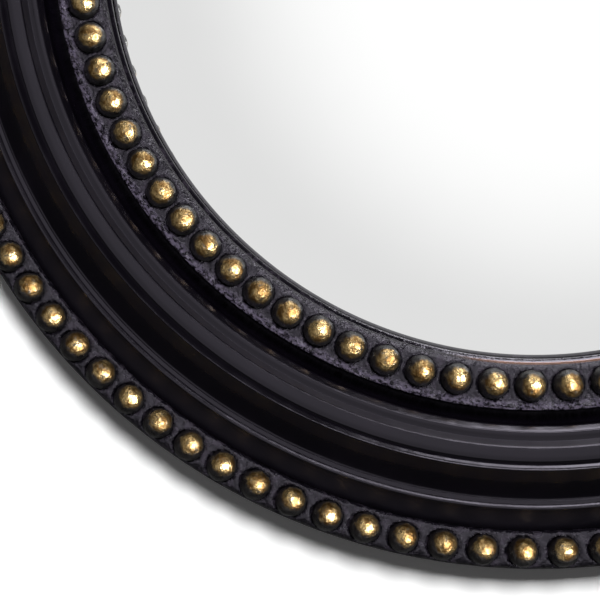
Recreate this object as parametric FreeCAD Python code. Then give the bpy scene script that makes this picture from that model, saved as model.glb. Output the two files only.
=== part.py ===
import FreeCAD, Part
import math
import os

# Convex round wall mirror: black turned frame, two rings of gilded beads, domed glass.
# Units are millimetres. +Z is up and the glass faces -Y. The wall is the plane Y = 0, and
# the origin is the point of the wall behind the ring's centre.
# A profile point is (radius, height): the height is measured forward from the frame's back.

# ---- overall sizes ----
outer_radius = 250.0          # outline of the outer bead rail
wall_gap = 5.0                # pads keep the frame's back this far off the wall
fit_gap = 0.1                 # between pieces that are glued or pressed together

# ---- beads and their sockets ----
bead_radius = 6.2
bead_seat_depth = 5.6         # from a bead's middle down to its flat base
bead_edge_inset = 7.0         # from the outline to the line of the outer beads
outer_bead_pitch = 15.27
outer_bead_sink = 0.6         # from the outer rail's top down to a bead's middle
outer_socket_play = 0.8
outer_first_bead = -0.4       # degrees above the horizontal, on the right
rim_to_inner_beads = 9.5      # from the inner rail's rim to the line of its beads
inner_bead_pitch = 14.02
inner_bead_rise = 0.7         # from the ground between the sockets up to a bead's middle
inner_socket_play = 0.4
inner_first_bead = -0.1       # degrees above the horizontal, on the right
spacing_drift = 1.1           # degrees that the hand-set beads stray from even spacing
drift_phase = 24.0            # degrees, where the strayed beads are true again
drift_waves = 2               # swings of the drift in one turn of the ring

# ---- widths across the frame, from the outline inwards ----
outer_rail_width = 14.9
recess_width = 8.7            # from the outer rail to the edge roll
edge_band_width = 4.1         # from the edge roll's outside to the cove's foot
cove_width = 11.9
arris_slope_width = 2.5       # from the cove's top down to the valley beside the crest band
valley_width = 0.3
crest_band_width = 6.0
cavetto_width = 3.6
roll_width = 4.4              # the inner roll and the slope below it
groove_width = 5.6            # from that slope to the rim
inner_rail_width = 20.0

# ---- inner bead rail ----
rail_shelf_height = 14.0      # the rail stands on the moulding here
lip_step = 1.5                # the lip's underside is this far above the shelf
lip_thickness = 3.1
lip_round = 1.1
ground_thickness = 7.3        # from the shelf up to the ground between the bead sockets
rim_rise = 3.7                # from that ground to the rim's top
rim_top_width = 0.4
rim_belly_width = 1.1         # from the rim's outside to the middle of its hollow slope
rim_belly_rise = 1.5
rim_foot_width = 3.2
rim_foot_rise = 0.5

# ---- groove, inner roll, cavetto and crest band of the main moulding ----
# A tilt is in degrees from facing forward.
groove_floor_rise = 2.4       # from the shelf up to the groove's floor
groove_belly_width = 3.2
groove_belly_rise = 1.3
roll_slope_tilt = 42.0
roll_radius = 2.2
roll_outer_tilt = 25.0
roll_proud = 0.1              # the roll stands this far above the cavetto's foot
cavetto_foot_tilt = 14.0
cavetto_top_tilt = 52.0
crest_height = 29.0
crest_curvature = 7.0

# ---- cove, edge band and recess ----
arris_drop = 1.6              # from the crest down to the arris at the cove's top
arris_slope_tilt = 41.0
cove_top_tilt = 52.0
cove_foot_tilt = 27.0
edge_band_step = 0.45         # from the cove's foot up to the edge band
edge_roll_radius = 1.1
edge_roll_rise = 0.65         # above the edge band
recess_edge_drop = 3.0        # from the edge band down to the recess's slope
recess_rise = 4.6             # from the flange up to the foot of the recess's slope

# ---- outer bead rail ----
flange_thickness = 4.0
flange_inset = 3.0            # the moulding's back flange stays this far inside the outline
outer_rail_thickness = 8.6
outer_rail_edge_round = 3.6
outer_rail_chamfer = 0.8

# ---- glass, gasket and retainer ----
rebate_width = 6.2            # the rebate behind the lip, from the edge of the visible glass
glass_clearance = 1.2         # round the glass, in the rebate
glass_thickness = 3.0
dome_radius = 550.0
gasket_thickness = 0.8        # at its inner edge
gasket_inset = 0.7            # from the edge of the visible glass to the gasket
retainer_width = 8.0

# ---- backing board ----
board_thickness = 3.0
board_rebate_width = 11.4     # from the glass's rebate to the board's
board_rebate_depth = 4.5
board_clearance = 0.8         # round the board, in its rebate
board_screw_inset = 5.6       # from the edge of the board's rebate
board_screw_count = 12

# ---- screws ----
screw_shank_radius = 1.6
screw_head_radius = 3.4
screw_head_height = 2.0
screw_head_round = 0.8
board_screw_length = 10.0
hanger_screw_length = 12.0
hole_clearance = 0.05
drive_length = 2.6            # cross recess in a screw's head
drive_width = 0.65
drive_depth = 0.9

# ---- hangers ----
hanger_inset = 39.0           # from the outline to the circle of the hangers' pivots
hanger_angle = 40.0           # degrees above the horizontal
strap_width = 12.0
strap_thickness = 1.0
strap_screw_from_pivot = 21.0
fold_wall = 1.0
ring_wire_radius = 1.25
ring_side_gap = 1.5           # between a leg of the ring and the strap's fold
ring_leg_length = 4.0
ring_corner_radius = 2.0
ring_bearing_gap = 0.08       # running clearance of the ring in the strap's fold
ring_over_strap_gap = 0.3

# ---- pads ----
pad_radius = 8.0
pad_inset = 39.0              # from the outline to the circle of the pads
pad_angle = 62.0              # degrees above and below the horizontal
pad_round = 0.8

# ---- radii that follow ----
outer_rail_inner_radius = outer_radius - outer_rail_width
edge_radius = outer_rail_inner_radius - recess_width
cove_foot_radius = edge_radius - edge_band_width
cove_top_radius = cove_foot_radius - cove_width
valley_radius = cove_top_radius - arris_slope_width
crest_band_radius = valley_radius - valley_width     # outside of the crest band
cavetto_top_radius = crest_band_radius - crest_band_width
cavetto_foot_radius = cavetto_top_radius - cavetto_width
groove_radius = cavetto_foot_radius - roll_width
rim_radius = groove_radius - groove_width
sight_radius = rim_radius - inner_rail_width         # edge of the visible glass
rebate_radius = sight_radius + rebate_width
glass_radius = rebate_radius - glass_clearance
board_rebate_radius = rebate_radius + board_rebate_width
board_radius = board_rebate_radius - board_clearance
board_screw_circle = board_rebate_radius - board_screw_inset
outer_bead_ring_radius = outer_radius - bead_edge_inset
inner_bead_ring_radius = rim_radius - rim_to_inner_beads

# ---- heights that follow, from the frame's back ----
lip_underside_height = rail_shelf_height + lip_step
lip_height = lip_underside_height + lip_thickness
channel_height = rail_shelf_height + ground_thickness
rim_height = channel_height + rim_rise
inner_bead_height = channel_height + inner_bead_rise
groove_floor_height = rail_shelf_height + groove_floor_rise
arris_height = crest_height - arris_drop
outer_rail_height = flange_thickness + outer_rail_thickness
outer_bead_height = outer_rail_height - outer_bead_sink
pivot_height = strap_thickness + ring_over_strap_gap + ring_wire_radius
board_face_height = board_rebate_depth - board_thickness
dome_centre_height = (lip_underside_height - gasket_thickness
                      - math.sqrt(dome_radius ** 2 - (sight_radius + gasket_inset) ** 2))

# ---- directions ----
front = FreeCAD.Vector(0, -1, 0)
back = FreeCAD.Vector(0, 1, 0)
across = FreeCAD.Vector(1, 0, 0)
ring_centre = FreeCAD.Vector(0, 0, 0)
forward = 0                   # tilt of a profile surface that faces the viewer
inward = -90                  # tilt of one that faces the ring's centre
full_turn = 360.0


def place(radius, height, angle=0.0):
    """A point of the frame: radius and angle round the ring, height above the back."""
    turn = math.radians(angle)
    return FreeCAD.Vector(radius * math.cos(turn), -(wall_gap + height), radius * math.sin(turn))


def on_circle(centre, radius, tilt):
    """The profile point of a circle where its normal leans outward by tilt degrees."""
    lean = math.radians(tilt)
    return (centre[0] + radius * math.sin(lean), centre[1] + radius * math.cos(lean))


def round_step(centre, radius, from_tilt, to_tilt):
    """A step of a profile: the arc's middle point and its end."""
    return (on_circle(centre, radius, (from_tilt + to_tilt) / 2),
            on_circle(centre, radius, to_tilt))


def turned(start, *steps):
    """Turn a closed profile about the ring's axis. A step is a point, or (middle, end) of an arc."""
    edges = []
    here = start
    for step in steps + (start,):
        if isinstance(step[0], tuple):
            middle, end = step
            edges.append(Part.Arc(place(*here), place(*middle), place(*end)).toShape())
        else:
            end = step
            if here != end:
                edges.append(Part.LineSegment(place(*here), place(*end)).toShape())
        here = end
    face = Part.Face(Part.Wire(edges))
    return face.revolve(ring_centre, back, full_turn)


def round_bar(start, direction, length, radius):
    return Part.makeCylinder(radius, length, start, direction)


# ---- beads ----
def bead_angles(ring_radius, pitch, first):
    """Nearly even spacing round the ring, with the slow drift of beads set by hand."""
    count = round(2 * math.pi * ring_radius / pitch)
    angles = []
    for number in range(count):
        even = first + number * full_turn / count
        swing = math.sin(math.radians(drift_waves * (drift_phase - even)))
        angles.append(even + spacing_drift * swing)
    return angles


def flat_based_ball(middle, radius, depth):
    """A ball that faces forward and is cut flat, depth behind its middle."""
    cut_latitude = -math.degrees(math.asin(depth / radius))
    return Part.makeSphere(radius, middle, front, cut_latitude, 90, full_turn)


def beads(ring_radius, height, angles):
    return Part.makeCompound([flat_based_ball(place(ring_radius, height, angle),
                                              bead_radius, bead_seat_depth)
                              for angle in angles])


def sockets(ring_radius, height, angles, play):
    """Scoops round the beads, each with a flat floor at the level of the bead's base."""
    return Part.makeCompound([flat_based_ball(place(ring_radius, height + play, angle),
                                              bead_radius + play, bead_seat_depth + play)
                              for angle in angles])


outer_bead_angles = bead_angles(outer_bead_ring_radius, outer_bead_pitch, outer_first_bead)
inner_bead_angles = bead_angles(inner_bead_ring_radius, inner_bead_pitch, inner_first_bead)


# ---- frame ----
def slope_end(start, tilt, end_radius):
    """Where a straight slope that faces inward by tilt degrees comes to a smaller radius."""
    return (end_radius, start[1] - (start[0] - end_radius) * math.tan(math.radians(tilt)))


def hollow(top, width, top_tilt, foot_tilt):
    """Centre and curvature of a hollow that falls from its top over a width."""
    spread = math.sin(math.radians(top_tilt)) - math.sin(math.radians(foot_tilt))
    curvature = width / abs(spread)
    return on_circle(top, curvature, top_tilt), curvature


def main_moulding():
    crest = ((cavetto_top_radius + crest_band_radius) / 2, crest_height - crest_curvature)
    crest_tilt = math.degrees(math.asin(crest_band_width / 2 / crest_curvature))
    inner_arris = on_circle(crest, crest_curvature, -crest_tilt)

    cavetto_centre, cavetto_curvature = hollow(inner_arris, cavetto_width,
                                               -cavetto_top_tilt, -cavetto_foot_tilt)
    cavetto_foot = on_circle(cavetto_centre, -cavetto_curvature, -cavetto_foot_tilt)
    roll_start = (cavetto_foot[0], cavetto_foot[1] + roll_proud)
    roll_centre = on_circle(roll_start, -roll_radius, roll_outer_tilt)
    roll_end = on_circle(roll_centre, roll_radius, -roll_slope_tilt)

    cove_top = (cove_top_radius, arris_height)
    cove_centre, cove_curvature = hollow(cove_top, cove_width, cove_top_tilt, cove_foot_tilt)
    cove_foot = on_circle(cove_centre, -cove_curvature, cove_foot_tilt)

    edge_band_height = cove_foot[1] + edge_band_step
    edge_roll_centre = (edge_radius - edge_roll_radius,
                        edge_band_height + edge_roll_rise - edge_roll_radius)
    edge_roll_tilt = math.degrees(math.acos(1 - edge_roll_rise / edge_roll_radius))

    return turned(
        (board_rebate_radius, 0),
        (outer_radius - flange_inset, 0),
        (outer_radius - flange_inset, flange_thickness),
        (outer_rail_inner_radius - fit_gap, flange_thickness),
        (outer_rail_inner_radius - fit_gap, flange_thickness + recess_rise),
        (edge_radius, edge_band_height - recess_edge_drop),
        (edge_radius, edge_roll_centre[1]),
        round_step(edge_roll_centre, edge_roll_radius, -inward, -edge_roll_tilt),
        (cove_foot_radius + edge_band_step, edge_band_height),
        cove_foot,
        round_step(cove_centre, -cove_curvature, cove_foot_tilt, cove_top_tilt),
        slope_end(cove_top, arris_slope_tilt, valley_radius),
        on_circle(crest, crest_curvature, crest_tilt),
        round_step(crest, crest_curvature, crest_tilt, -crest_tilt),
        round_step(cavetto_centre, -cavetto_curvature, -cavetto_top_tilt, -cavetto_foot_tilt),
        roll_start,
        round_step(roll_centre, roll_radius, roll_outer_tilt, -roll_slope_tilt),
        slope_end(roll_end, roll_slope_tilt, groove_radius),
        ((rim_radius + groove_belly_width, groove_floor_height + groove_belly_rise),
         (rim_radius + fit_gap, groove_floor_height)),
        (rim_radius + fit_gap, rail_shelf_height),
        (rebate_radius, rail_shelf_height),
        (rebate_radius, board_rebate_depth),
        (board_rebate_radius, board_rebate_depth),
    )


def inner_bead_rail():
    nose = (sight_radius + lip_round, lip_height - lip_round)
    body = turned(
        (sight_radius, lip_underside_height),
        (rebate_radius, lip_underside_height),
        (rebate_radius, rail_shelf_height + fit_gap),
        (rim_radius, rail_shelf_height + fit_gap),
        (rim_radius, rim_height),
        (rim_radius - rim_top_width, rim_height),
        ((rim_radius - rim_belly_width, channel_height + rim_belly_rise),
         (rim_radius - rim_foot_width, channel_height + rim_foot_rise)),
        (inner_bead_ring_radius - bead_radius, channel_height),
        on_circle(nose, lip_round, forward),
        round_step(nose, lip_round, forward, inward),
    )
    return body.cut(sockets(inner_bead_ring_radius, inner_bead_height, inner_bead_angles,
                            inner_socket_play))


def outer_bead_rail():
    edge_centre = (outer_radius - outer_rail_edge_round, outer_rail_height - outer_rail_edge_round)
    underside = flange_thickness + fit_gap
    body = turned(
        (outer_rail_inner_radius, underside),
        (outer_radius - outer_rail_chamfer, underside),
        (outer_radius, underside + outer_rail_chamfer),
        (outer_radius, edge_centre[1]),
        round_step(edge_centre, outer_rail_edge_round, -inward, forward),
        (outer_rail_inner_radius + outer_rail_chamfer, outer_rail_height),
        (outer_rail_inner_radius, outer_rail_height - outer_rail_chamfer),
    )
    return body.cut(sockets(outer_bead_ring_radius, outer_bead_height, outer_bead_angles,
                            outer_socket_play))


# ---- glass and what holds it ----
def dome_height(radius, sphere_radius):
    """Height of a sphere about the dome's centre, at a radius from the ring's axis."""
    return dome_centre_height + math.sqrt(sphere_radius ** 2 - radius ** 2)


def arc_over_dome(start_radius, end_radius, sphere_radius):
    middle = (start_radius + end_radius) / 2
    return ((middle, dome_height(middle, sphere_radius)),
            (end_radius, dome_height(end_radius, sphere_radius)))


def convex_glass():
    back_sphere = dome_radius - glass_thickness
    return turned(
        (0, dome_height(0, back_sphere)),
        arc_over_dome(0, glass_radius, back_sphere),
        (glass_radius, dome_height(glass_radius, dome_radius)),
        arc_over_dome(glass_radius, 0, dome_radius),
    )


def glazing_gasket():
    seat = dome_radius + fit_gap
    inner = sight_radius + gasket_inset
    return turned(
        (inner, dome_height(inner, seat)),
        arc_over_dome(inner, glass_radius, seat),
        (glass_radius, lip_underside_height - fit_gap),
        (inner, lip_underside_height - fit_gap),
    )


def glass_retainer():
    seat = dome_radius - glass_thickness - fit_gap
    outer = rebate_radius - fit_gap
    inner = outer - retainer_width
    board_top = board_rebate_depth + fit_gap
    return turned(
        (inner, board_top),
        (outer, board_top),
        (outer, dome_height(outer, seat)),
        arc_over_dome(outer, inner, seat),
    )


# ---- screws ----
def pan_head(seat_point):
    """A round head behind the face that it presses on."""
    head = round_bar(seat_point, back, screw_head_height, screw_head_radius)
    return head.makeFillet(screw_head_round, [head.Edges[0]])


def sunk_head(face_point):
    """A countersunk head, flush with the face round it."""
    return Part.makeCone(screw_head_radius, screw_shank_radius, screw_head_height,
                         face_point, front)


def wood_screw(head, shank_start, length, drive_mouth):
    """A screw driven forward from behind, with a cross recess."""
    shank = round_bar(shank_start, front, length, screw_shank_radius)
    corner = FreeCAD.Vector(drive_length / 2, drive_depth, drive_width / 2)
    slot = Part.makeBox(drive_length, drive_depth, drive_width, drive_mouth - corner)
    cross_slot = slot.copy()
    cross_slot.rotate(drive_mouth, back, full_turn / 4)
    return shank.fuse(head).cut(slot.fuse(cross_slot)).removeSplitter()


def board_screw_points():
    pitch = full_turn / board_screw_count
    return [place(board_screw_circle, board_face_height, (number + 0.5) * pitch)
            for number in range(board_screw_count)]


def backing_screws():
    return Part.makeCompound([wood_screw(sunk_head(point), point, board_screw_length, point)
                              for point in board_screw_points()])


def backing_board():
    board = round_bar(place(0, board_face_height), front, board_thickness - fit_gap, board_radius)
    hole_radius = screw_shank_radius + hole_clearance
    sink_radius = screw_head_radius + hole_clearance
    holes = []
    for point in board_screw_points():
        holes.append(round_bar(point, front, board_thickness, hole_radius))
        holes.append(Part.makeCone(sink_radius, hole_radius, screw_head_height, point, front))
    return board.cut(Part.makeCompound(holes))


# ---- hangers ----
def hanger_pivot(side):
    """The ring's pivot, on the back of the moulding. side is -1 on the left, 1 on the right."""
    lean = math.radians(hanger_angle)
    circle = outer_radius - hanger_inset
    return FreeCAD.Vector(side * circle * math.cos(lean), pivot_height - wall_gap,
                          circle * math.sin(lean))


def hanger_screw_point(side):
    pivot = hanger_pivot(side)
    return FreeCAD.Vector(pivot.x, strap_thickness - wall_gap, pivot.z - strap_screw_from_pivot)


def hanger_strap(side):
    pivot = hanger_pivot(side)
    half = strap_width / 2
    straight = strap_screw_from_pivot
    bore_radius = ring_wire_radius + ring_bearing_gap
    start = FreeCAD.Vector(pivot.x - half, pivot.y, pivot.z)
    fold = round_bar(start, across, strap_width, bore_radius + fold_wall)
    bore = round_bar(start, across, strap_width, bore_radius)
    plate = Part.makeBox(strap_width, strap_thickness, straight,
                         FreeCAD.Vector(pivot.x - half, -wall_gap, pivot.z - straight))
    round_end = round_bar(FreeCAD.Vector(pivot.x, -wall_gap, pivot.z - straight), back,
                          strap_thickness, half)
    screw_hole = round_bar(hanger_screw_point(side), front, strap_thickness,
                           screw_shank_radius + hole_clearance)
    return fold.fuse([plate, round_end]).cut([bore, screw_hole]).removeSplitter()


def d_ring(side):
    """The ring hangs from its straight bar: two legs and a half circle below the pivot."""
    pivot = hanger_pivot(side)
    half = strap_width / 2 + ring_side_gap + ring_wire_radius
    corner = ring_corner_radius
    bend = corner * (1 - math.sqrt(0.5))

    def at(x, z):
        return pivot + FreeCAD.Vector(x, 0, z)

    path = Part.Wire([
        Part.LineSegment(at(0, 0), at(half - corner, 0)).toShape(),
        Part.Arc(at(half - corner, 0), at(half - bend, -bend), at(half, -corner)).toShape(),
        Part.LineSegment(at(half, -corner), at(half, -ring_leg_length)).toShape(),
        Part.Arc(at(half, -ring_leg_length), at(0, -ring_leg_length - half),
                 at(-half, -ring_leg_length)).toShape(),
        Part.LineSegment(at(-half, -ring_leg_length), at(-half, -corner)).toShape(),
        Part.Arc(at(-half, -corner), at(bend - half, -bend), at(corner - half, 0)).toShape(),
        Part.LineSegment(at(corner - half, 0), at(0, 0)).toShape(),
    ])
    section = Part.Wire([Part.Circle(pivot, across, ring_wire_radius).toShape()])
    return path.makePipeShell([section], True, False)


def hanger_screws():
    screws = []
    for side in (-1, 1):
        seat = hanger_screw_point(side)
        screws.append(wood_screw(pan_head(seat), seat, hanger_screw_length,
                                 seat + back * screw_head_height))
    return Part.makeCompound(screws)


def with_pilot_holes(moulding):
    """Drill the back of the moulding for both kinds of screw."""
    pilot = screw_shank_radius + hole_clearance
    holes = [round_bar(point, front, board_screw_length + hole_clearance, pilot)
             for point in board_screw_points()]
    holes += [round_bar(hanger_screw_point(side), front, hanger_screw_length + hole_clearance, pilot)
              for side in (-1, 1)]
    return moulding.cut(Part.makeCompound(holes))


# ---- pads ----
def pad(side, level):
    """A round wall pad. side is -1 or 1 for left or right, level is -1 or 1 for low or high."""
    lean = math.radians(pad_angle)
    circle = outer_radius - pad_inset
    foot = FreeCAD.Vector(side * circle * math.cos(lean), -wall_gap,
                          level * circle * math.sin(lean))
    disc = round_bar(foot, back, wall_gap, pad_radius)
    wall_edge = [edge for edge in disc.Edges
                 if len(edge.Vertexes) == 1 and edge.CenterOfMass.y > -wall_gap / 2]
    return disc.makeFillet(pad_round, wall_edge)


pieces = {
    "main_moulding": with_pilot_holes(main_moulding()),
    "outer_bead_rail": outer_bead_rail(),
    "outer_beads": beads(outer_bead_ring_radius, outer_bead_height, outer_bead_angles),
    "inner_bead_rail": inner_bead_rail(),
    "inner_beads": beads(inner_bead_ring_radius, inner_bead_height, inner_bead_angles),
    "convex_glass": convex_glass(),
    "glazing_gasket": glazing_gasket(),
    "glass_retainer": glass_retainer(),
    "backing_board": backing_board(),
    "backing_screws": backing_screws(),
    "hanger_strap_left": hanger_strap(-1),
    "hanger_strap_right": hanger_strap(1),
    "d_ring_left": d_ring(-1),
    "d_ring_right": d_ring(1),
    "hanger_screws": hanger_screws(),
    "bumper_upper_left": pad(-1, 1),
    "bumper_upper_right": pad(1, 1),
    "bumper_lower_left": pad(-1, -1),
    "bumper_lower_right": pad(1, -1),
}

os.makedirs("parts", exist_ok=True)
for name, shape in pieces.items():
    shape.exportStep("parts/" + name + ".step")
    box = shape.BoundBox
    print(name, "solids", len(shape.Solids), "valid", shape.isValid(),
          "volume %.1f" % shape.Volume,
          "x %.1f..%.1f" % (box.XMin, box.XMax),
          "y %.1f..%.1f" % (box.YMin, box.YMax),
          "z %.1f..%.1f" % (box.ZMin, box.ZMax))
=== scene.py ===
import math
import random

import bmesh
import bpy
from mathutils import Euler, Matrix, Vector, noise


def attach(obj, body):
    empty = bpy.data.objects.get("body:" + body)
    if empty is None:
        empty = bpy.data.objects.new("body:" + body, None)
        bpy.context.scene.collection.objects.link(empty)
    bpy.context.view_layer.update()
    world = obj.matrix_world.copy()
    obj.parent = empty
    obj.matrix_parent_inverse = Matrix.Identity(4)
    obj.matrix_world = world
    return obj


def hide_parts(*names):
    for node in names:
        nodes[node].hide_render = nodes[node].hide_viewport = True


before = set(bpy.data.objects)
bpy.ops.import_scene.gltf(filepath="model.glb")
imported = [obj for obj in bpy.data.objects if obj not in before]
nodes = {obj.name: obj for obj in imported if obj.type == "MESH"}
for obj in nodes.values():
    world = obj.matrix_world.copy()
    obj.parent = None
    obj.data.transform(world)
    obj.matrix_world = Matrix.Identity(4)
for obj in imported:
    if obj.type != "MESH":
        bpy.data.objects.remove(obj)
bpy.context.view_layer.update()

# Metres, with +Z up and the glass facing -Y. A profile point is (radius, height), where the
# height is measured forward from the frame's back. A tilt is in degrees from facing forward,
# positive towards the outline.
MM = 0.001
FULL_TURN = 2 * math.pi
WALL_GAP = 5.0 * MM             # pads keep the frame's back this far off the wall
SAME_POINT = 0.01 * MM          # points closer than this are merged

# ---- beads ----
BEAD_RADIUS = 6.2 * MM
BEAD_BASE_DEPTH = 5.5 * MM      # from a bead's middle down to its flat base
OUTER_BEADS = {"count": 100, "ring": 243.0 * MM, "height": 12.0 * MM, "first": -0.4,
               "play": 0.8 * MM}
INNER_BEADS = {"count": 80, "ring": 178.5 * MM, "height": 22.0 * MM, "first": -0.1,
               "play": 0.4 * MM}
SPACING_DRIFT = 1.1             # degrees that the hand-set beads stray from even spacing
DRIFT_PHASE = 24.0              # degrees, where the strayed beads are true again
DRIFT_WAVES = 2                 # swings of the drift in one turn of the ring
BEAD_SIDES = 14
BEAD_LEVELS = 8
DENT_SIZE = 210.0               # dents per metre
DENT_DEPTH = 0.32 * MM
WORN_DOWN = 0.08 * MM           # a bead's usual face lies this far below the full ball
# The gold stays on the side of each bead that faces this way, front and a little right; the black
# on the far side is partly rubbed-off gold and partly painted shade.
GILT_AND_LIGHT_FROM = Vector((0.2, -0.97, 0))

# ---- carving of the bead rails ----
SOCKET_INSET = 0.3 * MM         # a socket is this much smaller than its bead
SOCKET_RISE = 0.6 * MM          # its middle lies this far above the bead's
SOCKET_LIP_OFFSET = 0.5 * MM    # from the scoop's edge to the top of the raised lip round it
SOCKET_LIP_WIDTH = 1.2 * MM
SOCKET_LIP_RISE = 0.45 * MM
CARVED_DEPTH = 4.5 * MM         # deeper than this below the beads' middles nothing is carved
GRIT_SIZE = 300.0               # grains per metre
GRIT_IN_SOCKET = 0.35           # share of the ground's grit that a socket has
SOCKET_DEPTH = 0.5 * MM         # ground cut deeper than this counts as a socket
INNER_FADE = 0.8 * MM           # the carving fades in over this width at its inner edge
OUTER_FADE = 0.3 * MM           # and out over this one at its outer edge

# ---- profiles, in millimetres ----
MOULDING_OUTSIDE = 247.0
FLANGE_TOP = 4.0
RECESS_OUTSIDE = 235.0
SHELF = 14.0                    # the inner rail stands on the moulding here
GLASS_REBATE = 174.2
BOARD_REBATE = 185.6
BOARD_REBATE_DEPTH = 4.5
SIGHT_EDGE = 168.0              # edge of the visible glass
LIP_UNDERSIDE = 15.5
RAIL_BASE = 14.1
RIM = 188.0
OUTER_RAIL_BASE = 4.1
OUTER_RAIL_INSIDE = 235.1
OUTER_RAIL_TOP = 12.6
OUTLINE = 250.0

# Circles: radius and height of the centre, and curvature.
EDGE_ROLL = (225.7, 18.2, 0.7)
COVE = (241.64, 50.03, 37.77)
CREST = (204.6, 21.75, 7.0)
INNER_ROLL = (197.07, 24.093, 2.2)
GROOVE = (187.237, 22.804, 6.461)
OUTER_RAIL_EDGE = (246.4, 9.0, 3.6)

# ---- glass, in millimetres ----
DOME_RADIUS = 550.0
GLASS_THICKNESS = 3.0
GLASS_EDGE = 173.0
GASKET_INSIDE = 168.7           # the glass meets the gasket's inner edge at this radius
GASKET_UNDERSIDE = 14.7         # and at this height

# ---- zones of the finishes: where the edge of a mask starts and ends ----
# Distances from the ring's axis.
RECESS_FROM = (226.1 * MM, 226.4 * MM)
HOLLOW_FROM = (199.3 * MM, 199.6 * MM)
HOLLOW_TO = (201.4 * MM, 201.7 * MM)
UPPER_COVE_FROM = (210.4 * MM, 210.7 * MM)
UPPER_COVE_TO = (213.5 * MM, 216.5 * MM)
RIM_FOOT_FROM = (183.6 * MM, 186.8 * MM)
RIM_FOOT_TO = (190.0 * MM, 200.0 * MM)
LIP_TO = (169.7 * MM, 170.3 * MM)
STRIP_FROM = (169.3 * MM, 169.6 * MM)       # the rubbed strip of the lip
STRIP_TO = (170.1 * MM, 170.6 * MM)
# Places on X, Z and Y.
STRIP_RIGHT_OF = (-35.0 * MM, -12.0 * MM)
STRIP_BELOW = (-120.0 * MM, -150.0 * MM)
BACK_FACE = (-5.6 * MM, -5.1 * MM)

# Roughness that is added to the lacquer's own.
RECESS_DULLNESS = 0.35
HOLLOW_DULLNESS = 0.35
UPPER_COVE_DULLNESS = 0.3
BACK_DULLNESS = 0.4

# ---- colours ----
LACQUER_TINT = (0.9, 0.84, 1.0, 1.0)
LACQUER_DEEP = (0.0018, 0.0013, 0.0027, 1)
LACQUER_CLOUD = (0.0032, 0.0023, 0.0044, 1)
LACQUER_SPECK = (0.012, 0.01, 0.012, 1)
BACK_THIN = (0.012, 0.01, 0.011, 1)
BACK_BRUSHED = (0.035, 0.028, 0.024, 1)
CARVED_DEEP = (0.004, 0.0033, 0.0055, 1)
CARVED_CHALK = (0.022, 0.018, 0.026, 1)
CARVED_POWDER = (0.1, 0.085, 0.125, 1)
RUBBED_BROWN = (0.24, 0.1, 0.045, 1)
GOLD_DARK = (0.07, 0.037, 0.01, 1)
GOLD_BRIGHT = (0.32, 0.225, 0.1, 1)
BEAD_BLACK = (0.006, 0.0045, 0.005, 1)
SILVER_CLEAN = (0.985, 0.988, 0.985, 1)
SILVER_DUSTY = (0.975, 0.978, 0.975, 1)
WOOD_DARK = (0.30, 0.17, 0.08, 1)
WOOD_PALE = (0.46, 0.30, 0.17, 1)
BOARD_DARK = (0.15, 0.085, 0.045, 1)
BOARD_PALE = (0.22, 0.13, 0.072, 1)
BOARD_FIBRE = (0.08, 0.045, 0.025, 1)
BOARD_SCUFF = (0.36, 0.25, 0.16, 1)
ZINC_BRIGHT = (0.66, 0.66, 0.64, 1)
ZINC_DULL = (0.42, 0.42, 0.42, 1)
PAD_BLACK = (0.03, 0.03, 0.03, 1)
GASKET_BLACK = (0.015, 0.015, 0.015, 1)
WHITE = (1, 1, 1, 1)

# ---- stage, light and camera ----
STAGE_REACH = 3
FLOOR_LEVEL = -0.7
WALL_FACE = 0.4 * MM
MATT_LEVEL = 0.8                # how pale the stage is to everything but the camera
CAMERA_GAIN = 1.6               # and to the camera, so that it is white where fully lit

# Lobes of the world: a direction, and the degrees off it where the lobe starts and is full.
FRONT_LOBE = ((-0.12, -1.0, -0.12), 50.0, 43.0)
BRIGHT_LOBE = ((0.201, -0.945, 0.259), 47.5, 22.0)
BEHIND_LOBE = ((0.0, 1.0, 0.0), 90.0, 60.0)
FRONT_LEVEL = 0.7               # in reflections
BRIGHT_LEVEL = 0.28
BEHIND_LEVEL = 0.08
AROUND_LEVEL = 0.05             # in reflections and as the fill from all sides
FILL_BEHIND = 0.8               # fill behind the mirror

# Each lamp's place, aim, width, height and radiance.
LAMPS = {
    "key": ((0.19, -1.35, 0.58), (0, 0, 0), 0.6, 0.6, 17.0),
    "side": ((0.95, -1.25, 0.05), (0, 0, -0.05), 0.45, 0.6, 4.7),
    "overhead": ((0.03, -0.42, 1.0), (0, -0.02, -0.2), 0.5, 0.36, 8.0),
    "overhead_low": ((0.03, -0.85, 0.65), (0, -0.02, -0.2), 0.5, 0.12, 10.0),
    "bead_glint": ((0.85, -1.15, -0.3), (-0.05, 0, -0.2), 0.75, 0.75, 60.0),
    "bead_edge_glint": ((0.6, -0.25, 0.9), (-0.05, 0, -0.2), 0.5, 0.4, 16.0),
}
BEAD_LAMPS = ("bead_glint", "bead_edge_glint")

CAMERA_PLACE = (-0.0770, -0.6054, -0.1744)
CAMERA_AIM = (-0.025, 0.99844, 0.04996)
LENS_LENGTH = 90.0
SENSOR_WIDTH = 36.0


# ---- shapes ----
def bead_angles(row):
    """Where the beads of a row stand round the ring, in radians: even, with a slow drift."""
    angles = []
    for number in range(row["count"]):
        even = row["first"] + number * 360.0 / row["count"]
        drift = SPACING_DRIFT * math.sin(math.radians(DRIFT_WAVES * (DRIFT_PHASE - even)))
        angles.append(math.radians(even + drift))
    return angles


def spot(radius, height, angle=0.0):
    """A point of the frame in the scene."""
    return Vector((radius * math.cos(angle), -(WALL_GAP + height), radius * math.sin(angle)))


def line_to(radius, height, pieces=1):
    """A straight step of a profile, in millimetres, cut into pieces."""
    return {"end": (radius * MM, height * MM), "pieces": pieces}


def arc_about(centre_radius, centre_height, turn_by, pieces):
    """An arc about a centre; turn_by is how far the tilt grows along it, in degrees."""
    return {"centre": (centre_radius * MM, centre_height * MM), "turn": turn_by, "pieces": pieces}


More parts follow.
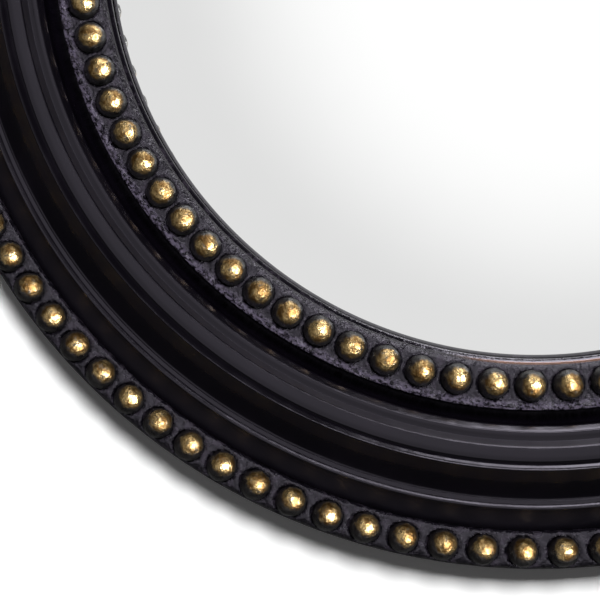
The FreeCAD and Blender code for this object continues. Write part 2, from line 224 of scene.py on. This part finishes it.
def circle_arc(circle, from_tilt, to_tilt, pieces):
    """A line to the arc's start and the arc itself, from one tilt to another."""
    radius, height, curvature = circle
    lean = math.radians(from_tilt)
    return [line_to(radius + curvature * math.sin(lean), height + curvature * math.cos(lean)),
            arc_about(radius, height, to_tilt - from_tilt, pieces)]


def hollow_arc(circle, from_tilt, to_tilt, pieces):
    """The same for a hollow, whose centre lies in front of the surface."""
    radius, height, curvature = circle
    return circle_arc((radius, height, -curvature), from_tilt, to_tilt, pieces)


def turned_mesh(start, steps, sectors, sector_pieces):
    """Draw a closed profile with lines and arcs, turn it through one sector and repeat that."""
    mesh = bmesh.new()
    first = mesh.verts.new(spot(start[0] * MM, start[1] * MM))
    last = first
    for step in steps:
        if "centre" in step:
            made = bmesh.ops.spin(mesh, geom=[last], cent=spot(*step["centre"]), axis=(0, 0, 1),
                                  angle=math.radians(step["turn"]), steps=step["pieces"])
            last = [v for v in made["geom_last"] if isinstance(v, bmesh.types.BMVert)][0]
        else:
            begin = last.co.copy()
            end = spot(*step["end"])
            for piece in range(step["pieces"]):
                share = (piece + 1) / step["pieces"]
                vert = mesh.verts.new(begin.lerp(end, share))
                mesh.edges.new((last, vert))
                last = vert
    mesh.edges.new((last, first))
    sector = FULL_TURN / sectors
    bmesh.ops.spin(mesh, geom=mesh.verts[:] + mesh.edges[:], cent=(0, 0, 0), axis=(0, 1, 0),
                   angle=sector, steps=sector_pieces)
    bmesh.ops.spin(mesh, geom=mesh.verts[:] + mesh.edges[:] + mesh.faces[:], cent=(0, 0, 0),
                   axis=(0, 1, 0), angle=FULL_TURN - sector, steps=sectors - 1, use_duplicate=True)
    bmesh.ops.remove_doubles(mesh, verts=mesh.verts[:], dist=SAME_POINT)
    bmesh.ops.recalc_face_normals(mesh, faces=mesh.faces[:])
    return mesh


def soften_edges(mesh, width, sharp_angle):
    """Round the edges that are sharper than an angle, as lacquer does."""
    limit = math.radians(sharp_angle)
    sharp = [e for e in mesh.edges if e.calc_face_angle(0) > limit]
    bmesh.ops.bevel(mesh, geom=sharp, offset=width, offset_type='OFFSET', segments=2,
                    profile=0.5, affect='EDGES', material=-1, clamp_overlap=True)


def linked_object(name, mesh, material):
    """Make an object of a bmesh, put it in the scene and give it a material."""
    data = bpy.data.meshes.new(name)
    mesh.to_mesh(data)
    mesh.free()
    data.materials.append(material)
    made = bpy.data.objects.new(name, data)
    bpy.context.scene.collection.objects.link(made)
    return made


def finished(mesh, name, material, body, replaced, sharp_angle):
    """Make the object of a piece, smooth below an angle, and tell the frame what it is."""
    limit = math.radians(sharp_angle)
    for face in mesh.faces:
        face.smooth = True
    for edge in mesh.edges:
        edge.smooth = edge.calc_face_angle(0) < limit
    piece = linked_object(name, mesh, material)
    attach(piece, body)
    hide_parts(replaced)
    return piece


# ---- shader node helpers ----
def new_material(name):
    material = bpy.data.materials.new(name)
    material.use_nodes = True
    tree = material.node_tree
    return material, tree, tree.nodes["Principled BSDF"]


def feed(tree, node, inputs):
    """Link each input to another node's output, or give it a constant value."""
    for key, value in inputs.items():
        if isinstance(value, bpy.types.NodeSocket):
            tree.links.new(value, node.inputs[key])
        else:
            node.inputs[key].default_value = value


def add(tree, kind, inputs=None, **settings):
    """Add a node, set its own settings and feed its inputs."""
    node = tree.nodes.new(kind)
    for key, value in settings.items():
        setattr(node, key, value)
    feed(tree, node, inputs or {})
    return node


def object_coords(tree):
    return add(tree, "ShaderNodeTexCoord").outputs["Object"]


def mixed(tree, mask, first, second):
    """Two colours blended by a mask."""
    return add(tree, "ShaderNodeMix", {0: mask, 6: first, 7: second}, data_type='RGBA').outputs[2]


def mapped(tree, value, low, high, to_low, to_high):
    """Move a value smoothly from one range to another."""
    node = add(tree, "ShaderNodeMapRange", {"Value": value, "From Min": low, "From Max": high,
                                            "To Min": to_low, "To Max": to_high},
               interpolation_type='SMOOTHSTEP')
    return node.outputs["Result"]


def by_mask(tree, mask, without, full):
    """A value that a mask moves from one level to another."""
    return mapped(tree, mask, 0.0, 1.0, without, full)


def math_node(tree, operation, first, second):
    return add(tree, "ShaderNodeMath", {0: first, 1: second}, operation=operation).outputs[0]


def times(tree, first, second):
    return math_node(tree, 'MULTIPLY', first, second)


def plus(tree, first, second):
    return math_node(tree, 'ADD', first, second)


def band(tree, value, rise, fall, level=1.0):
    """A mask that is full between two edges, each given by where it starts and ends."""
    return times(tree, mapped(tree, value, *rise, 0.0, level), mapped(tree, value, *fall, 1.0, 0.0))


def ring_radius(tree, where):
    """Distance from the ring's axis."""
    flat = add(tree, "ShaderNodeVectorMath", {0: where, 1: (1.0, 0.0, 1.0)}, operation='MULTIPLY')
    length = add(tree, "ShaderNodeVectorMath", {0: flat.outputs[0]}, operation='LENGTH')
    return length.outputs["Value"]


def bumped(tree, height, distance):
    return add(tree, "ShaderNodeBump", {"Height": height, "Distance": distance}).outputs["Normal"]


def new_group(name, inputs, outputs):
    group = bpy.data.node_groups.new(name, "ShaderNodeTree")
    for label, kind, value in inputs:
        socket = group.interface.new_socket(label, in_out='INPUT', socket_type=kind)
        if value is not None:
            socket.default_value = value
    for label, kind in outputs:
        group.interface.new_socket(label, in_out='OUTPUT', socket_type=kind)
    return group, group.nodes.new("NodeGroupInput"), group.nodes.new("NodeGroupOutput")


# ---- effects that several finishes share ----
def patches_group():
    """Ragged patches: a mask for wear, speckle or dust. Size is the patches per metre."""
    group, given, out = new_group(
        "ragged_patches",
        [("Vector", 'NodeSocketVector', None), ("Size", 'NodeSocketFloat', 100.0),
         ("Threshold", 'NodeSocketFloat', 0.5), ("Edge", 'NodeSocketFloat', 0.08)],
        [("Mask", 'NodeSocketFloat')])
    cloud = add(group, "ShaderNodeTexNoise", {"Vector": given.outputs["Vector"],
                                              "Scale": given.outputs["Size"],
                                              "Detail": 6.0, "Roughness": 0.62})
    low = math_node(group, 'SUBTRACT', given.outputs["Threshold"], given.outputs["Edge"])
    high = plus(group, given.outputs["Threshold"], given.outputs["Edge"])
    feed(group, out, {"Mask": mapped(group, cloud.outputs["Fac"], low, high, 0.0, 1.0)})
    return group


def surface_group():
    """The unevenness of a hand-finished surface: broad waves and a fine grain."""
    group, given, out = new_group(
        "hand_finished_surface",
        [("Vector", 'NodeSocketVector', None), ("Wave Size", 'NodeSocketFloat', 60.0),
         ("Grain Size", 'NodeSocketFloat', 900.0), ("Grain Share", 'NodeSocketFloat', 0.3)],
        [("Height", 'NodeSocketFloat')])
    wave = add(group, "ShaderNodeTexNoise", {"Vector": given.outputs["Vector"],
                                             "Scale": given.outputs["Wave Size"], "Detail": 2.0})
    grain = add(group, "ShaderNodeTexNoise", {"Vector": given.outputs["Vector"],
                                              "Scale": given.outputs["Grain Size"], "Detail": 3.0})
    share = times(group, grain.outputs["Fac"], given.outputs["Grain Share"])
    feed(group, out, {"Height": plus(group, wave.outputs["Fac"], share)})
    return group


ragged_patches = patches_group()
hand_finished = surface_group()


def patches(tree, where, size, threshold, edge):
    """A mask of ragged patches. A higher threshold leaves fewer of them."""
    node = tree.nodes.new("ShaderNodeGroup")
    node.node_tree = ragged_patches
    feed(tree, node, {"Vector": where, "Size": size, "Threshold": threshold, "Edge": edge})
    return node.outputs["Mask"]


def unevenness(tree, where, wave, grain, share):
    """Height of the waves and grain. Both sizes are per metre; share is the grain's part."""
    node = tree.nodes.new("ShaderNodeGroup")
    node.node_tree = hand_finished
    feed(tree, node, {"Vector": where, "Wave Size": wave, "Grain Size": grain,
                      "Grain Share": share})
    return node.outputs["Height"]


# ---- finishes ----
def black_lacquer():
    """Semi-gloss black lacquer with a plum cast. It is duller in the recess, in the hollow
    beside the crest band and high in the cove, and brushed on thinly at the back."""
    material, tree, shader = new_material("black_lacquer")
    where = object_coords(tree)
    cloud = patches(tree, where, size=35.0, threshold=0.52, edge=0.2)
    speck = patches(tree, where, size=420.0, threshold=0.72, edge=0.03)
    colour = mixed(tree, cloud, LACQUER_DEEP, LACQUER_CLOUD)
    colour = mixed(tree, speck, colour, LACQUER_SPECK)

    radius = ring_radius(tree, where)
    gloss = by_mask(tree, cloud, 0.15, 0.22)
    recess = mapped(tree, radius, *RECESS_FROM, 0.0, RECESS_DULLNESS)
    hollow = band(tree, radius, HOLLOW_FROM, HOLLOW_TO, HOLLOW_DULLNESS)
    cove = band(tree, radius, UPPER_COVE_FROM, UPPER_COVE_TO, UPPER_COVE_DULLNESS)
    dulled = plus(tree, plus(tree, gloss, cove), plus(tree, recess, hollow))

    depth = add(tree, "ShaderNodeSeparateXYZ", {0: where}).outputs["Y"]
    at_back = mapped(tree, depth, *BACK_FACE, 0.0, 1.0)
    dulled = plus(tree, dulled, times(tree, at_back, BACK_DULLNESS))
    brushed = patches(tree, where, size=55.0, threshold=0.5, edge=0.1)
    thin = mixed(tree, brushed, BACK_THIN, BACK_BRUSHED)

    height = unevenness(tree, where, wave=70.0, grain=1400.0, share=0.06)
    feed(tree, shader, {"Base Color": mixed(tree, at_back, colour, thin), "Roughness": dulled,
                        "Specular IOR Level": 0.4, "Specular Tint": LACQUER_TINT,
                        "Normal": bumped(tree, height, 0.25 * MM)})
    return material


def carved_black():
    """The same black on the carved bead rails: dull and chalky, powdery at the foot of the
    rim, smoother on the lip, and rubbed to brown along the lip at the lower right."""
    material, tree, shader = new_material("carved_black")
    where = object_coords(tree)
    radius = ring_radius(tree, where)
    chalk = patches(tree, where, size=260.0, threshold=0.56, edge=0.07)
    colour = mixed(tree, chalk, CARVED_DEEP, CARVED_CHALK)

    powder = patches(tree, where, size=620.0, threshold=0.5, edge=0.06)
    powdered = times(tree, band(tree, radius, RIM_FOOT_FROM, RIM_FOOT_TO), powder)
    colour = mixed(tree, powdered, colour, CARVED_POWDER)

    place = add(tree, "ShaderNodeSeparateXYZ", {0: where})
    to_the_right = mapped(tree, place.outputs["X"], *STRIP_RIGHT_OF, 0.0, 1.0)
    low_down = mapped(tree, place.outputs["Z"], *STRIP_BELOW, 0.0, 1.0)
    strip = band(tree, radius, STRIP_FROM, STRIP_TO)
    rubbed = times(tree, times(tree, strip, times(tree, to_the_right, low_down)), 0.85)
    colour = mixed(tree, rubbed, colour, RUBBED_BROWN)

    lip = mapped(tree, radius, *LIP_TO, 1.0, 0.0)
    polish = math_node(tree, 'SUBTRACT', 1.0, times(tree, lip, 0.55))
    calm = math_node(tree, 'SUBTRACT', 1.0, times(tree, lip, 0.9))
    height = unevenness(tree, where, wave=300.0, grain=1100.0, share=0.5)
    feed(tree, shader, {"Base Color": colour, "Specular Tint": LACQUER_TINT,
                        "Roughness": times(tree, by_mask(tree, chalk, 0.2, 0.42), polish),
                        "Normal": bumped(tree, times(tree, height, calm), 0.9 * MM)})
    return material


def rubbed_gilding_and_shade():
    """Gold leaf rubbed over black: bright on the crowns, gone where the beads meet the rail, and
    black on each bead's side turned from the light, which is painted shade.
    """
    material, tree, shader = new_material("rubbed_gilding_and_shade")
    where = object_coords(tree)
    tone = patches(tree, where, size=260.0, threshold=0.52, edge=0.1)
    gold = mixed(tree, tone, GOLD_DARK, GOLD_BRIGHT)
    worn = patches(tree, where, size=520.0, threshold=0.6, edge=0.06)
    gilt_and_lit_side = add(tree, "ShaderNodeAttribute", attribute_name="gilt_and_lit_side", attribute_type='GEOMETRY')
    ragged = add(tree, "ShaderNodeTexNoise", {"Vector": where, "Scale": 420.0, "Detail": 5.0,
                                              "Roughness": 0.7})
    level = plus(tree, gilt_and_lit_side.outputs["Fac"], times(tree, ragged.outputs["Fac"], 0.5))
    # Black where the bead turns away from its gilt side: ungilded black at its base, and painted
    # shade on its side away from the light.
    away_from_gilt_and_light = mapped(tree, level, 0.8, 1.04, 1.0, 0.0)
    ungilded_and_shaded = math_node(tree, 'MAXIMUM', away_from_gilt_and_light, times(tree, worn, 0.75))
    height = unevenness(tree, where, wave=330.0, grain=1500.0, share=0.3)
    feed(tree, shader, {"Base Color": mixed(tree, ungilded_and_shaded, gold, BEAD_BLACK),
                        "Metallic": by_mask(tree, ungilded_and_shaded, 0.9, 0.05),
                        "Roughness": by_mask(tree, tone, 0.38, 0.27),
                        "Normal": bumped(tree, height, 0.6 * MM)})
    return material


def silvered_glass():
    """A polished mirror with the faint cast of clear glass and a trace of dust."""
    material, tree, shader = new_material("silvered_glass")
    dust = patches(tree, object_coords(tree), size=30.0, threshold=0.6, edge=0.25)
    feed(tree, shader, {"Base Color": mixed(tree, dust, SILVER_CLEAN, SILVER_DUSTY),
                        "Roughness": by_mask(tree, dust, 0.0, 0.02), "Metallic": 1.0})
    return material


def plain_rubber(name, colour):
    """Matt rubber with pale dust."""
    material, tree, shader = new_material(name)
    where = object_coords(tree)
    dust = patches(tree, where, size=300.0, threshold=0.6, edge=0.1)
    pale = tuple(min(1.0, 2.2 * c + 0.02) for c in colour[:3]) + (1,)
    height = unevenness(tree, where, wave=400.0, grain=3000.0, share=0.5)
    feed(tree, shader, {"Base Color": mixed(tree, dust, colour, pale), "Roughness": 0.65,
                        "Normal": bumped(tree, height, 0.2 * MM)})
    return material


def raw_wood():
    """Unpainted wood with a banded grain."""
    material, tree, shader = new_material("raw_wood")
    grain = add(tree, "ShaderNodeTexWave", {"Vector": object_coords(tree), "Scale": 90.0,
                                            "Distortion": 6.0, "Detail": 3.0},
                wave_type='BANDS').outputs["Fac"]
    feed(tree, shader, {"Base Color": mixed(tree, grain, WOOD_DARK, WOOD_PALE),
                        "Roughness": 0.7, "Normal": bumped(tree, grain, 0.2 * MM)})
    return material


def pressed_board():
    """Brown hardboard: pressed fibres, faint mottling and scuffs."""
    material, tree, shader = new_material("pressed_board")
    where = object_coords(tree)
    fibre = add(tree, "ShaderNodeTexVoronoi", {"Vector": where, "Scale": 700.0},
                feature='F1').outputs["Distance"]
    mottle = patches(tree, where, size=22.0, threshold=0.5, edge=0.25)
    scuff = patches(tree, where, size=60.0, threshold=0.7, edge=0.04)
    colour = mixed(tree, mottle, BOARD_DARK, BOARD_PALE)
    colour = mixed(tree, mapped(tree, fibre, 0.1, 0.7, 0.0, 0.35), colour, BOARD_FIBRE)
    colour = mixed(tree, times(tree, scuff, 0.4), colour, BOARD_SCUFF)
    feed(tree, shader, {"Base Color": colour, "Roughness": 0.6,
                        "Normal": bumped(tree, fibre, 0.3 * MM)})
    return material


def zinc_steel():
    """Bright zinc plating with dull spots."""
    material, tree, shader = new_material("zinc_steel")
    where = object_coords(tree)
    dull = patches(tree, where, size=240.0, threshold=0.55, edge=0.1)
    height = unevenness(tree, where, wave=500.0, grain=4000.0, share=0.4)
    feed(tree, shader, {"Base Color": mixed(tree, dull, ZINC_BRIGHT, ZINC_DULL),
                        "Roughness": by_mask(tree, dull, 0.28, 0.48), "Metallic": 1.0,
                        "Normal": bumped(tree, height, 0.12 * MM)})
    return material


# ---- the turned moulding ----
def main_moulding(material):
    """The wide black ring, drawn from the back over the flange and the face to the rebates."""
    flange = [line_to(MOULDING_OUTSIDE, 0.0), line_to(MOULDING_OUTSIDE, FLANGE_TOP),
              line_to(RECESS_OUTSIDE, FLANGE_TOP)]
    recess = [line_to(RECESS_OUTSIDE, 8.6), line_to(226.4, 15.04, 4)]
    edge_band = circle_arc(EDGE_ROLL, 90.0, -26.0, 8) + [
        line_to(224.3, 18.3, 2), line_to(224.1, 18.04), line_to(222.75, 18.04)]
    cove = hollow_arc(COVE, 30.79, 55.79, 14)
    arris_slope = [line_to(207.7, 26.84, 3)]
    crest_band = circle_arc(CREST, 23.0, -23.0, 14)
    hollow = [line_to(199.5, 25.63, 4)]
    inner_roll = circle_arc(INNER_ROLL, 25.0, -42.0, 10) + [line_to(193.6, 23.929, 3)]
    groove = hollow_arc(GROOVE, -100.03, -7.67, 12)
    rebates = [line_to(188.1, SHELF), line_to(GLASS_REBATE, SHELF),
               line_to(GLASS_REBATE, BOARD_REBATE_DEPTH), line_to(BOARD_REBATE, BOARD_REBATE_DEPTH)]
    face = edge_band + cove + arris_slope + crest_band + hollow + inner_roll + groove
    mesh = turned_mesh((BOARD_REBATE, 0.0), flange + recess + face + rebates,
                       sectors=20, sector_pieces=16)
    soften_edges(mesh, 0.12 * MM, 25)
    return finished(mesh, "turned_moulding", material, "frame", "main_moulding",
                    sharp_angle=40)


# ---- bead rails ----
def scoop_height(row, radius, angle, angles, ground):
    """Height of a rail's ground beside the nearest bead: the bead sits in a scoop with a lip."""
    height = ground
    scoop_radius = BEAD_RADIUS + row["play"]
    seat_radius = BEAD_RADIUS - SOCKET_INSET
    pitch = FULL_TURN / row["count"]
    near = int(round((angle - math.radians(row["first"])) / pitch))
    for number in (near - 1, near, near + 1):
        bead = angles[number % row["count"]]
        gap = math.remainder(angle - bead, FULL_TURN)
        away = math.hypot(radius - row["ring"], gap * row["ring"])
        rise = max(0.0, 1 - abs(away - scoop_radius - SOCKET_LIP_OFFSET) / SOCKET_LIP_WIDTH)
        height += SOCKET_LIP_RISE * rise * rise * (3 - 2 * rise)
        if away < seat_radius:
            floor = row["height"] + SOCKET_RISE - math.sqrt(seat_radius ** 2 - away ** 2)
            height = min(height, floor)
    return height


def carve_rail(mesh, row, low_radius, high_radius, grit):
    """Scoop the sockets into a rail's top and break up its ground with grit of a depth."""
    angles = bead_angles(row)
    for vert in mesh.verts:
        radius = math.hypot(vert.co.x, vert.co.z)
        height = -vert.co.y - WALL_GAP
        if not (low_radius < radius < high_radius) or height < row["height"] - CARVED_DEPTH:
            continue
        angle = math.atan2(vert.co.z, vert.co.x) % FULL_TURN
        fade = min(1.0, (radius - low_radius) / INNER_FADE, (high_radius - radius) / OUTER_FADE)
        carved = scoop_height(row, radius, angle, angles, height)
        in_socket = carved <= height - SOCKET_DEPTH
        crumble = grit * noise.fractal(vert.co * GRIT_SIZE, 0.9, 2.2, 4)
        carved += crumble * (GRIT_IN_SOCKET if in_socket else 1.0)
        vert.co.y = -(WALL_GAP + height + (carved - height) * fade)


def inner_bead_rail(material):
    """The rail next to the glass, drawn outwards along its underside and back over its face."""
    underside = [line_to(GLASS_REBATE, LIP_UNDERSIDE), line_to(GLASS_REBATE, RAIL_BASE),
                 line_to(RIM, RAIL_BASE)]
    rim = [line_to(RIM, 24.7), line_to(187.7, 25.0), line_to(186.9, 23.8, 2)]
    ground = [line_to(184.8, 21.8, 4), line_to(172.3, 21.3, 18)]
    lip = [line_to(169.1, 18.6, 4), line_to(168.3, 17.96), line_to(SIGHT_EDGE, 17.4)]
    mesh = turned_mesh((SIGHT_EDGE, LIP_UNDERSIDE), underside + rim + ground + lip,
                       sectors=INNER_BEADS["count"], sector_pieces=16)
    carve_rail(mesh, INNER_BEADS, 170.6 * MM, 187.9 * MM, grit=0.34 * MM)
    return finished(mesh, "inner_carved_rail", material, "frame",
                    "inner_bead_rail", sharp_angle=60)


def outer_bead_rail(material):
    """The outermost rail, with a rounded outer edge."""
    outside = [line_to(249.2, OUTER_RAIL_BASE), line_to(OUTLINE, 4.9), line_to(OUTLINE, 9.0)]
    edge = circle_arc(OUTER_RAIL_EDGE, 90.0, 0.0, 7)
    ground = [line_to(235.9, OUTER_RAIL_TOP, 18), line_to(OUTER_RAIL_INSIDE, 11.8)]
    mesh = turned_mesh((OUTER_RAIL_INSIDE, OUTER_RAIL_BASE), outside + edge + ground,
                       sectors=OUTER_BEADS["count"], sector_pieces=14)
    carve_rail(mesh, OUTER_BEADS, 235.2 * MM, 249.95 * MM, grit=0.22 * MM)
    return finished(mesh, "outer_carved_rail", material, "frame",
                    "outer_bead_rail", sharp_angle=60)


# ---- beads ----
def gilded_beads(name, row, material, replaced, seed, lit_from_axis):
    """Balls with hand-worn, slightly flattened faces, sunk in their sockets. The gold is kept on
    the side facing the front and a little to the right, and, by a share given for each row, also on
    the side towards the ring's axis; the dark far side is partly ungilded black and partly painted
    shade."""
    chance = random.Random(seed)
    beads = bmesh.new()
    beads.verts.layers.float.new("gilt_and_lit_side")
    single = bpy.data.meshes.new("single_bead")
    base = WALL_GAP + row["height"] - BEAD_BASE_DEPTH
    for angle in bead_angles(row):
        middle = spot(row["ring"], row["height"], angle)
        towards_axis = Vector((-math.cos(angle), 0, -math.sin(angle)))
        gilt_and_light_from = (GILT_AND_LIGHT_FROM + towards_axis * lit_from_axis).normalized()
        turn = Euler([chance.uniform(0, FULL_TURN) for _ in range(3)]).to_matrix().to_4x4()
        bead = bmesh.new()
        gilt_and_lit_side = bead.verts.layers.float.new("gilt_and_lit_side")
        bmesh.ops.create_uvsphere(bead, u_segments=BEAD_SIDES, v_segments=BEAD_LEVELS,
                                  radius=BEAD_RADIUS, matrix=Matrix.Translation(middle) @ turn)
        for vert in bead.verts:
            out = (vert.co - middle).normalized()
            lump = noise.fractal(vert.co * DENT_SIZE + Vector((seed, 0, 0)), 1.0, 2.0, 3)
            vert.co = middle + out * (BEAD_RADIUS + min(0.0, DENT_DEPTH * lump - WORN_DOWN))
            vert.co.y = min(vert.co.y, -base)
            # High on the side of the bead that faces the gold and the light; where it is low the
            # bead turns black, as painted shade and as ungilded black.
            vert[gilt_and_lit_side] = max(0.0, out.dot(gilt_and_light_from))
        bmesh.ops.remove_doubles(bead, verts=bead.verts[:], dist=SAME_POINT)
        bead.to_mesh(single)
        bead.free()
        beads.from_mesh(single)
    bpy.data.meshes.remove(single)
    return finished(beads, name, material, "frame", replaced, sharp_angle=80)


# ---- glass ----
def domed_mirror(material):
    """The convex glass, turned from two arcs and its edge."""
    centre_height = GASKET_UNDERSIDE - math.sqrt(DOME_RADIUS ** 2 - GASKET_INSIDE ** 2)
    back_radius = DOME_RADIUS - GLASS_THICKNESS
    front_tilt = math.degrees(math.asin(GLASS_EDGE / DOME_RADIUS))
    back_tilt = math.degrees(math.asin(GLASS_EDGE / back_radius))
    mesh = turned_mesh((0.0, centre_height + back_radius), [
        arc_about(0.0, centre_height, back_tilt, 24),
        line_to(GLASS_EDGE, centre_height + math.sqrt(DOME_RADIUS ** 2 - GLASS_EDGE ** 2)),
        arc_about(0.0, centre_height, -front_tilt, 48),
    ], sectors=18, sector_pieces=16)
    return finished(mesh, "domed_mirror", material, "frame", "convex_glass",
                    sharp_angle=40)


# ---- stage ----
def pale_surface(name, behind_clear):
    """A pale matt surface. The camera sees it white where it is fully lit, so shadows stay."""
    material, tree, shader = new_material(name)
    tree.nodes.remove(shader)
    path = add(tree, "ShaderNodeLightPath")
    gain = by_mask(tree, path.outputs["Is Camera Ray"], MATT_LEVEL, CAMERA_GAIN)
    colour = add(tree, "ShaderNodeCombineColor", {0: gain, 1: gain, 2: gain})
    surface = add(tree, "ShaderNodeBsdfDiffuse", {"Color": colour.outputs[0]}).outputs[0]
    if behind_clear:
        clear = add(tree, "ShaderNodeBsdfTransparent").outputs[0]
        side = add(tree, "ShaderNodeNewGeometry").outputs["Backfacing"]
        surface = add(tree, "ShaderNodeMixShader", {0: side, 1: surface, 2: clear}).outputs[0]
    feed(tree, tree.nodes["Material Output"], {"Surface": surface})
    return material


def stage_plane(name, corners, material):
    mesh = bmesh.new()
    mesh.faces.new([mesh.verts.new(corner) for corner in corners])
    plane = linked_object(name, mesh, material)
    plane.visible_diffuse = False
    plane.visible_glossy = False
    return plane


def wall_and_floor():
    """A white wall behind the mirror and a pale floor below it. Only the camera sees them."""
    reach, low, back = STAGE_REACH, FLOOR_LEVEL, WALL_FACE
    wall = stage_plane("wall", [(-reach, back, low), (reach, back, low),
                                (reach, back, reach), (-reach, back, reach)],
                       pale_surface("wall_paint", behind_clear=True))
    wall.visible_shadow = False
    stage_plane("floor", [(-reach, -reach, low), (reach, -reach, low),
                          (reach, reach, low), (-reach, reach, low)],
                pale_surface("floor_paint", behind_clear=False))


# ---- light ----
def direction_share(tree, towards, from_degrees, to_degrees):
    """1 where the world lies within to_degrees of a direction, 0 beyond from_degrees."""
    aim = Vector(towards).normalized()
    ray = add(tree, "ShaderNodeTexCoord").outputs["Generated"]
    unit = add(tree, "ShaderNodeVectorMath", {0: ray}, operation='NORMALIZE').outputs[0]
    along = add(tree, "ShaderNodeVectorMath", {0: unit, 1: aim}, operation='DOT_PRODUCT')
    return mapped(tree, along.outputs["Value"], math.cos(math.radians(from_degrees)),
                  math.cos(math.radians(to_degrees)), 0.0, 1.0)


def studio_world():
    """White to the camera. Reflections show a pale front that is brighter at the upper right,
    dark sides and a dim back. Matt surfaces get a weak fill, and a strong one behind the
    mirror, where no lamp reaches."""
    world = bpy.data.worlds.new("studio")
    bpy.context.scene.world = world
    world.use_nodes = True
    tree = world.node_tree
    path = add(tree, "ShaderNodeLightPath")
    front = direction_share(tree, *FRONT_LOBE)
    bright = direction_share(tree, *BRIGHT_LOBE)
    behind = direction_share(tree, *BEHIND_LOBE)
    reflected = plus(tree, times(tree, front, FRONT_LEVEL), AROUND_LEVEL)
    reflected = plus(tree, reflected, times(tree, bright, BRIGHT_LEVEL))
    reflected = plus(tree, reflected, times(tree, behind, BEHIND_LEVEL))
    fill = plus(tree, times(tree, behind, FILL_BEHIND), AROUND_LEVEL)
    seen = mixed(tree, path.outputs["Is Glossy Ray"], fill, reflected)
    seen = mixed(tree, path.outputs["Is Camera Ray"], seen, WHITE)
    feed(tree, tree.nodes["Background"], {"Color": seen, "Strength": 1.0})


def area_lamp(name, place, aim, width, height, radiance):
    """A soft lamp of a given brightness. Its power follows from its size."""
    data = bpy.data.lights.new(name, 'AREA')
    data.shape = 'RECTANGLE'
    data.size = width
    data.size_y = height
    data.energy = 4 * radiance * width * height
    lamp = bpy.data.objects.new(name, data)
    bpy.context.scene.collection.objects.link(lamp)
    lamp.location = place
    lamp.rotation_euler = (Vector(aim) - Vector(place)).to_track_quat('-Z', 'Y').to_euler()
    lamp.visible_camera = False
    return lamp


def studio_lamps(beads):
    """A key lamp for matt surfaces only, and lamps for reflections only. The last two of
    these light nothing but the beads."""
    lamps = {name: area_lamp(name, *setting) for name, setting in LAMPS.items()}
    for name, lamp in lamps.items():
        if name == "key":
            lamp.visible_glossy = False
        else:
            lamp.visible_diffuse = False
    only_beads = bpy.data.collections.new("gilded_beads")
    for piece in beads:
        only_beads.objects.link(piece)
    for name in BEAD_LAMPS:
        lamps[name].light_linking.receiver_collection = only_beads


def photograph_camera():
    """A long lens close to the lower left of the mirror, turned a little up and to the left."""
    data = bpy.data.cameras.new("photograph_camera")
    data.lens = LENS_LENGTH
    data.sensor_width = SENSOR_WIDTH
    data.clip_start = 0.01
    camera = bpy.data.objects.new("photograph_camera", data)
    bpy.context.scene.collection.objects.link(camera)
    forward = Vector(CAMERA_AIM).normalized()
    right = forward.cross(Vector((0, 0, 1))).normalized()
    up = right.cross(forward)
    turn = Matrix((right, up, -forward)).transposed().to_4x4()
    camera.matrix_world = Matrix.Translation(CAMERA_PLACE) @ turn
    bpy.context.scene.camera = camera


# ---- build ----
lacquer = black_lacquer()
carved = carved_black()
gilding = rubbed_gilding_and_shade()
zinc = zinc_steel()
wood = raw_wood()
board = pressed_board()
pad_rubber = plain_rubber("pad_rubber", PAD_BLACK)
gasket_rubber = plain_rubber("gasket_rubber", GASKET_BLACK)

main_moulding(lacquer)
inner_bead_rail(carved)
outer_bead_rail(carved)
# The outer beads' gold and light lean towards the axis, leaving painted shade on their outer sides.
gilded = [
    gilded_beads("outer_gilded_beads", OUTER_BEADS, gilding, "outer_beads", seed=5, lit_from_axis=0.3),
    gilded_beads("inner_gilded_beads", INNER_BEADS, gilding, "inner_beads", seed=11, lit_from_axis=-0.05),
]
domed_mirror(silvered_glass())

CAD_FINISHES = {
    "glazing_gasket": gasket_rubber,
    "glass_retainer": wood,
    "backing_board": board,
    "backing_screws": zinc,
    "hanger_strap_left": zinc,
    "hanger_strap_right": zinc,
    "d_ring_left": zinc,
    "d_ring_right": zinc,
    "hanger_screws": zinc,
    "bumper_upper_left": pad_rubber,
    "bumper_upper_right": pad_rubber,
    "bumper_lower_left": pad_rubber,
    "bumper_lower_right": pad_rubber,
}
for node_name, finish in CAD_FINISHES.items():
    for material_slot in nodes[node_name].material_slots:
        material_slot.material = finish

wall_and_floor()
studio_world()
studio_lamps(gilded)
photograph_camera()
bpy.context.scene.view_settings.view_transform = 'Standard'
